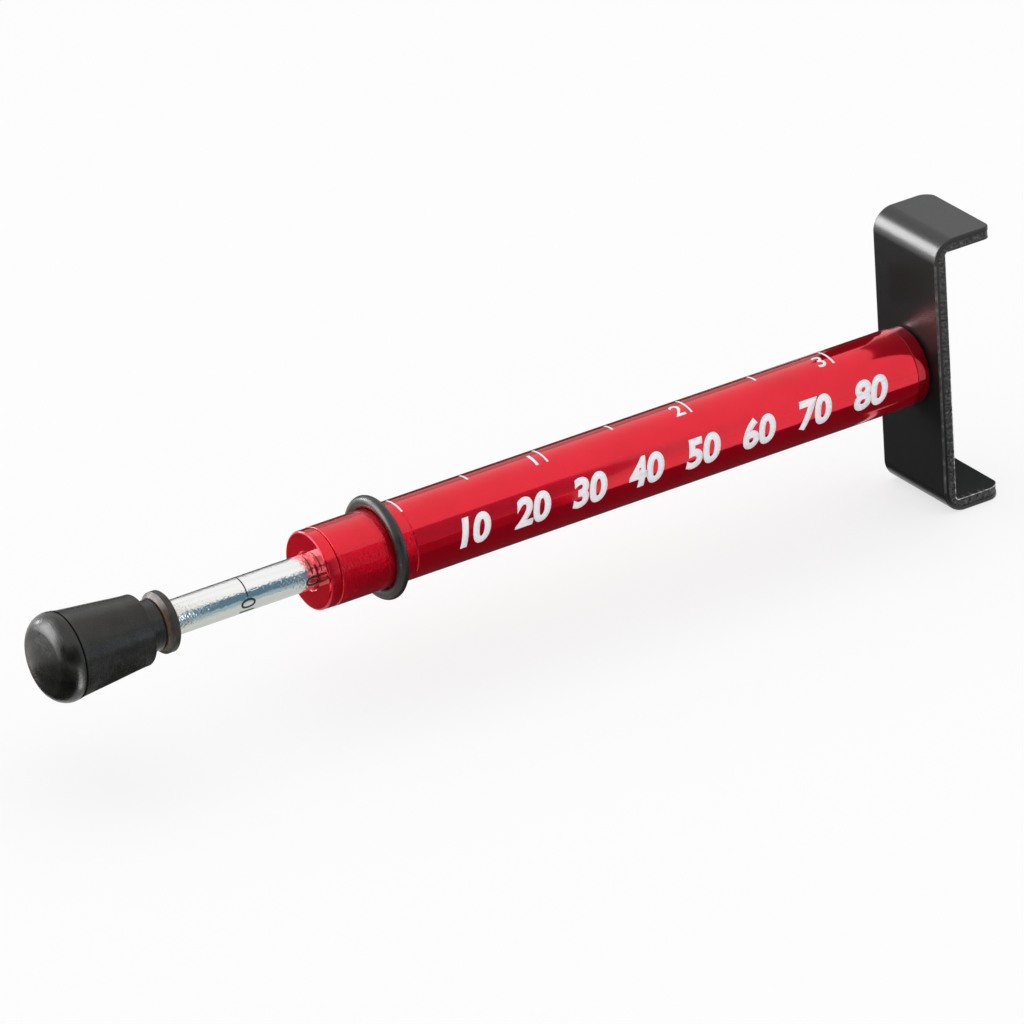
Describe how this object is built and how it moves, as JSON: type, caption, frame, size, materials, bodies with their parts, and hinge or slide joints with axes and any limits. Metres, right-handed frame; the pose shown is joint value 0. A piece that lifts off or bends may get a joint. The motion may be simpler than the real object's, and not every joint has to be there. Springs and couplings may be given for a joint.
{
  "type": "belt tension tester",
  "caption": "Pencil-type belt tension tester: a sprung plunger with a thumb cap slides in a scaled tube with a strip hook for the belt, and rubber rings mark force and deflection.",
  "frame": {"origin": "on the tube's axis, on the hook's flat face that sits on the belt", "axes": "+X along the tube from the thumb cap to the hook, +Z along the hook's long side, Y across the strip"},
  "size_m": [0.1623, 0.0158, 0.0444],
  "materials": {
    "hook_black": "satin black",
    "anodised_red": "bright red anodised",
    "plated_steel": "bright zinc plated",
    "spring_steel": "drawn wire",
    "piston_brass": "turned",
    "black_rubber": "moulded",
    "brown_rubber": "moulded, browned"
  },
  "bodies": {
    "gauge_body": {"hook_bracket": "hook_black", "hook_screw": "plated_steel", "rear_plug": "anodised_red", "barrel": "anodised_red", "front_cap": "anodised_red", "return_buffer": "black_rubber", "spring_washer": "plated_steel", "main_spring": "spring_steel"},
    "plunger": {"plunger_rod": "plated_steel", "piston": "piston_brass", "piston_clip": "spring_steel", "rubber_cap": "black_rubber"},
    "deflection_marker": {"deflection_ring": "black_rubber"},
    "force_marker": {"force_ring": "brown_rubber"}
  },
  "joints": [
    {"name": "plunger_slide", "type": "slide", "parent": "gauge_body", "child": "plunger", "axis": [1, 0, 0], "range_m": [0, 0.0167], "stiffness_N_per_m": 4000, "springref_m": -0.0005, "deforming": ["main_spring"]},
    {"name": "deflection_ring_slide", "type": "slide", "parent": "gauge_body", "child": "deflection_marker", "axis": [1, 0, 0], "range_m": [-0.0085, 0.0931]},
    {"name": "force_ring_slide", "type": "slide", "parent": "plunger", "child": "force_marker", "axis": [1, 0, 0], "range_m": [0, 0.0072]}
  ]
}
